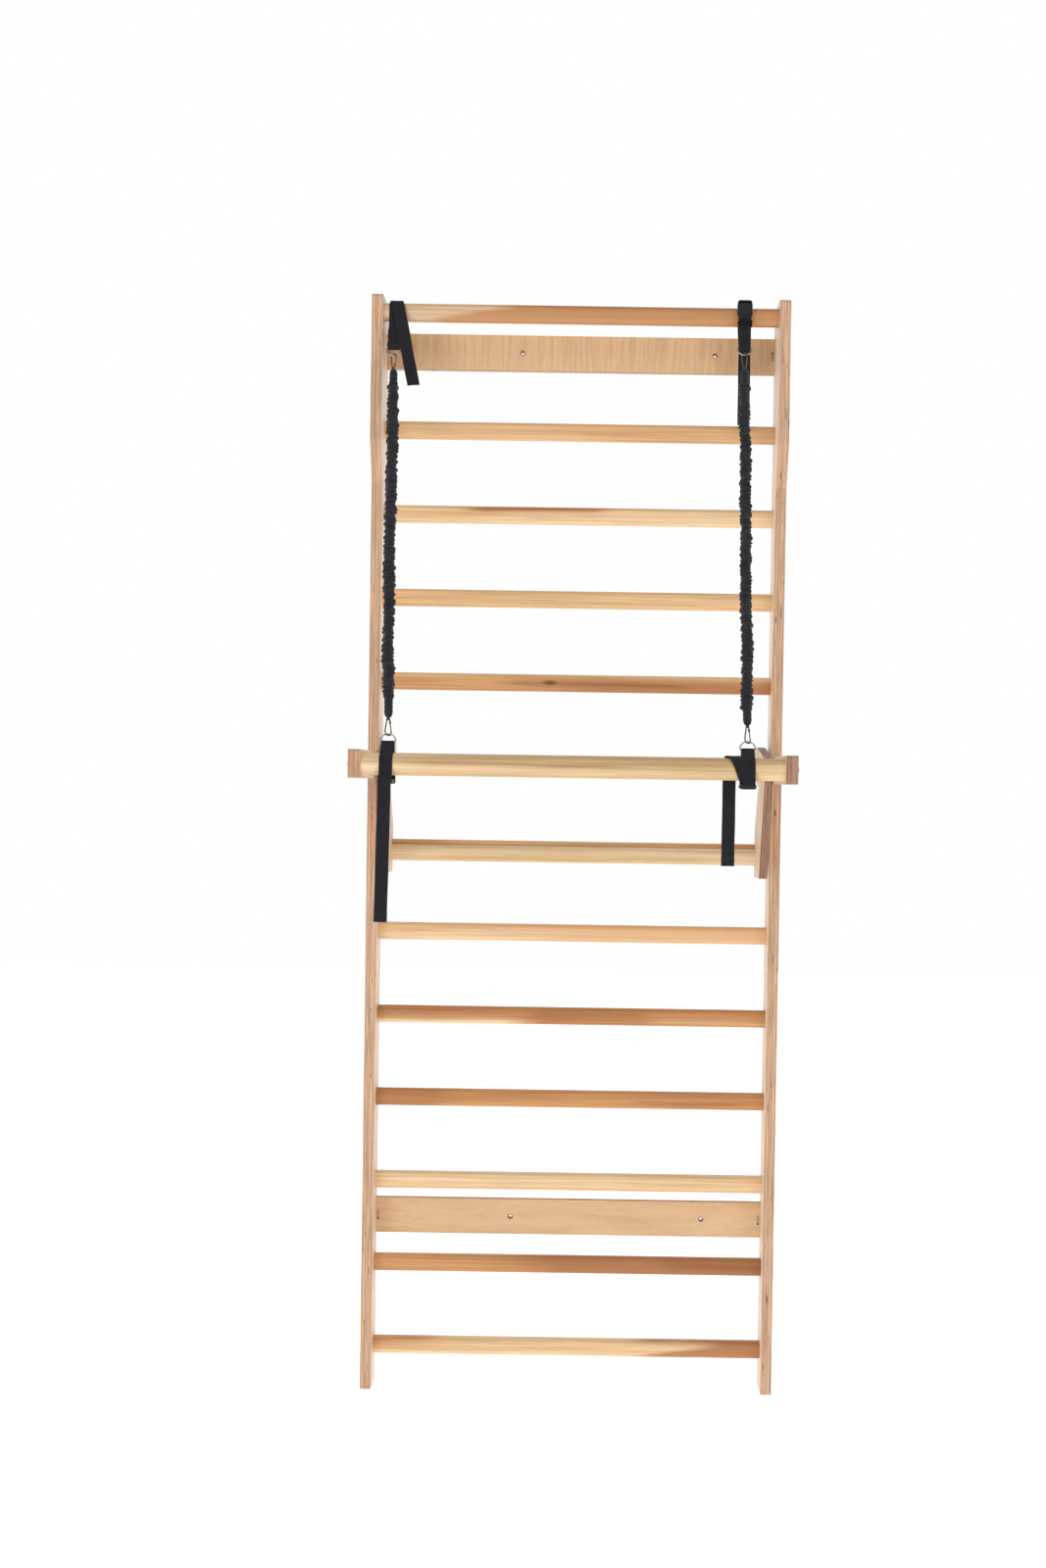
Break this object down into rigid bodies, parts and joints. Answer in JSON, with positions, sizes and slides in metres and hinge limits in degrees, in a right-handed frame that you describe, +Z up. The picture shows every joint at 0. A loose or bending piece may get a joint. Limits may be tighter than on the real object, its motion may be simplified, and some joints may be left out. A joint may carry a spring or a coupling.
{
  "type": "wall bars",
  "caption": "Wooden wall bars with a hook-on pull-up bar and two elastic resistance sleeves clipped between webbing slings.",
  "frame": {"origin": "on the floor at the foot of the wall, midway between the two rails", "axes": "+X along the wall to the right as seen from the front, +Y into the wall, +Z up"},
  "size_m": [0.916, 0.516, 2.406],
  "materials": {
    "rail_plywood": "satin varnished birch plywood, edge grain to the front",
    "attachment_plywood": "satin varnished birch plywood, darker edges",
    "rung_beech": "satin varnished solid hardwood, each rung of its own tone",
    "board_plywood": "satin varnished birch face veneer",
    "bar_poplar": "satin varnished solid pale wood with a yellow-olive cast",
    "zinc_fasteners": "zinc-plated steel",
    "bar_end_caps": "domed reddish wood-coloured caps over the bar bolts",
    "webbing": "matt black polypropylene webbing",
    "buckle_plastic": "satin black moulded plastic",
    "ring_nickel": "nickel-plated steel wire",
    "hook_nickel": "dark nickel-plated steel wire",
    "sleeve_fabric": "matt black gathered polyester sleeve"
  },
  "bodies": {
    "ladder": {"board_bolts": "zinc_fasteners", "board_nuts": "zinc_fasteners", "buckle_plug_top_left": "buckle_plastic", "buckle_plug_top_right": "buckle_plastic", "buckle_socket_top_left": "buckle_plastic", "buckle_socket_top_right": "buckle_plastic", "d_ring_top_left": "ring_nickel", "d_ring_top_right": "ring_nickel", "elastic_left": "sleeve_fabric", "elastic_right": "sleeve_fabric", "rail_left": "rail_plywood", "rail_right": "rail_plywood", "rung_01": "rung_beech", "rung_02": "rung_beech", "rung_03": "rung_beech", "rung_04": "rung_beech", "rung_05": "rung_beech", "rung_06": "rung_beech", "rung_07": "rung_beech", "rung_08": "rung_beech", "rung_09": "rung_beech", "rung_10": "rung_beech", "rung_11": "rung_beech", "rung_12": "rung_beech", "rung_bolts_left": "zinc_fasteners", "rung_bolts_right": "zinc_fasteners", "rung_top": "rung_beech", "snap_hook_top_left": "hook_nickel", "snap_hook_top_right": "hook_nickel", "wall_board_lower": "board_plywood", "wall_board_upper": "board_plywood", "webbing_top_left": "webbing", "webbing_top_right": "webbing"},
    "bar_attachment": {"hook_plate_left": "attachment_plywood", "hook_plate_right": "attachment_plywood", "arm_left": "attachment_plywood", "arm_right": "attachment_plywood", "front_bar": "bar_poplar", "lower_bar": "bar_poplar", "front_bar_bolts": "bar_end_caps", "lower_bar_bolts": "zinc_fasteners", "arm_screws": "zinc_fasteners", "buckle_plug_bottom_left": "buckle_plastic", "buckle_plug_bottom_right": "buckle_plastic", "buckle_socket_bottom_left": "buckle_plastic", "buckle_socket_bottom_right": "buckle_plastic", "d_ring_bottom_left": "ring_nickel", "d_ring_bottom_right": "ring_nickel", "snap_hook_bottom_left": "hook_nickel", "snap_hook_bottom_right": "hook_nickel", "webbing_bottom_left": "webbing", "webbing_bottom_right": "webbing"},
    "gate_top_left": {"hook_gate_top_left": "hook_nickel"},
    "gate_top_right": {"hook_gate_top_right": "hook_nickel"},
    "gate_bottom_left": {"hook_gate_bottom_left": "hook_nickel"},
    "gate_bottom_right": {"hook_gate_bottom_right": "hook_nickel"}
  },
  "joints": [
    {"name": "bar_lift", "type": "slide", "parent": "ladder", "child": "bar_attachment", "axis": [0, 0, 1], "range_m": [0, 0.05], "deforming": ["elastic_left", "elastic_right"]},
    {"name": "gate_top_left_hinge", "type": "hinge", "parent": "ladder", "child": "gate_top_left", "pos_m": [-0.39992, -0.14723, 2.24532], "axis": [-0.6423, -0.7219, 0.2576], "range_deg": [0, 25], "stiffness_Nm_per_rad": 0.01, "springref_deg": -11.46},
    {"name": "gate_top_right_hinge", "type": "hinge", "parent": "ladder", "child": "gate_top_right", "pos_m": [0.35803, -0.1418, 2.25909], "axis": [-0.6428, -0.7104, 0.2866], "range_deg": [0, 25], "stiffness_Nm_per_rad": 0.01, "springref_deg": -11.46},
    {"name": "gate_bottom_left_hinge", "type": "hinge", "parent": "bar_attachment", "child": "gate_bottom_left", "pos_m": [-0.36722, -0.44954, 1.46263], "axis": [-0.6423, 0.7035, -0.3042], "range_deg": [0, 25], "stiffness_Nm_per_rad": 0.01, "springref_deg": -11.46},
    {"name": "gate_bottom_right_hinge", "type": "hinge", "parent": "bar_attachment", "child": "gate_bottom_right", "pos_m": [0.34983, -0.45142, 1.45785], "axis": [-0.6428, 0.7149, -0.2752], "range_deg": [0, 25], "stiffness_Nm_per_rad": 0.01, "springref_deg": -11.46}
  ]
}
